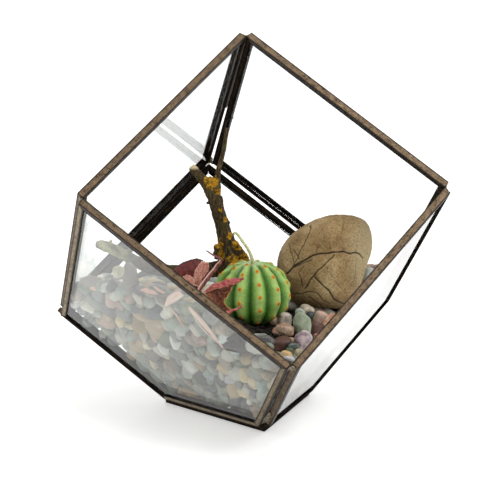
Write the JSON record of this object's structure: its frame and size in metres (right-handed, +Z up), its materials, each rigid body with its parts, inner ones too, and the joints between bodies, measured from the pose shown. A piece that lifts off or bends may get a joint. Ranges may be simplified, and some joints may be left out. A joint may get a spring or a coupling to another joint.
{
  "type": "glass plant terrarium",
  "caption": "Open glass terrarium: a metal-framed glass cube standing on a cut-off corner, with gravel, soil, a ball cactus, a boulder, a forked twig and dried leaves.",
  "frame": {"origin": "middle of the triangular foot's underside, on the table", "axes": "+Z up; the open face looks along -Y and upwards; +X is to the right for someone facing the opening"},
  "size_m": [0.2106, 0.2407, 0.2201],
  "materials": {
    "glass": "clear polished float glass with a faint green tint",
    "bronze_channel": "antiqued brass channel with a dark brown patina, rubbed lighter along the webs",
    "solder": "patinated tin solder, slightly lumpy satin",
    "gravel": "mixed tumbled pebbles in grey-green, cream, tan and white",
    "soil": "dry dark potting soil, fully rough",
    "cactus_skin": "waxy green plant skin with pale crests and orange areoles",
    "dry_stalk": "dry yellow-green stalk",
    "boulder": "tan sandstone with dark hairline cracks, matt",
    "bark": "weathered bark with orange lichen",
    "dried_leaf": "dried dark-red leaf, papery, pinkish folds",
    "straw": "dry pale straw",
    "pebble": "tumbled semi-polished pebbles, each its own colour"
  },
  "bodies": {
    "root": {"back_channel_foot": "bronze_channel", "back_channel_left": "bronze_channel", "back_channel_low_left": "bronze_channel", "back_channel_low_right": "bronze_channel", "back_channel_right": "bronze_channel", "back_pane": "glass", "cactus_body": "cactus_skin", "cactus_stalk": "dry_stalk", "dome_stone": "boulder", "dried_leaf_broad": "dried_leaf", "dried_leaf_crumpled": "dried_leaf", "dried_leaf_narrow": "dried_leaf", "dried_stem": "dried_leaf", "driftwood": "bark", "foot_channel_left": "bronze_channel", "foot_channel_rear": "bronze_channel", "foot_channel_right": "bronze_channel", "foot_pane": "glass", "front_left_channel_foot": "bronze_channel", "front_left_channel_nose": "bronze_channel", "front_left_channel_rear": "bronze_channel", "front_left_channel_rim": "bronze_channel", "front_left_channel_side": "bronze_channel", "front_left_pane": "glass", "front_right_channel_foot": "bronze_channel", "front_right_channel_nose": "bronze_channel", "front_right_channel_rear": "bronze_channel", "front_right_channel_rim": "bronze_channel", "front_right_channel_side": "bronze_channel", "front_right_pane": "glass", "gravel_bed": "gravel", "pebble_cream": "pebble", "pebble_green": "pebble", "pebble_purple": "pebble", "pebble_round_grey": "pebble", "pebble_rust": "pebble", "soil_bed": "soil", "solder_foot_front": "solder", "solder_foot_left": "solder", "solder_foot_right": "solder", "solder_front": "solder", "solder_left": "solder", "solder_left_low": "solder", "solder_peak": "solder", "solder_rear": "solder", "solder_right": "solder", "solder_right_low": "solder", "straw_long": "straw", "straw_short": "straw", "upper_left_channel_rear": "bronze_channel", "upper_left_channel_ridge": "bronze_channel", "upper_left_channel_rim": "bronze_channel", "upper_left_channel_side": "bronze_channel", "upper_left_pane": "glass", "upper_right_channel_rear": "bronze_channel", "upper_right_channel_ridge": "bronze_channel", "upper_right_channel_rim": "bronze_channel", "upper_right_channel_side": "bronze_channel", "upper_right_pane": "glass"}
  },
  "joints": []
}
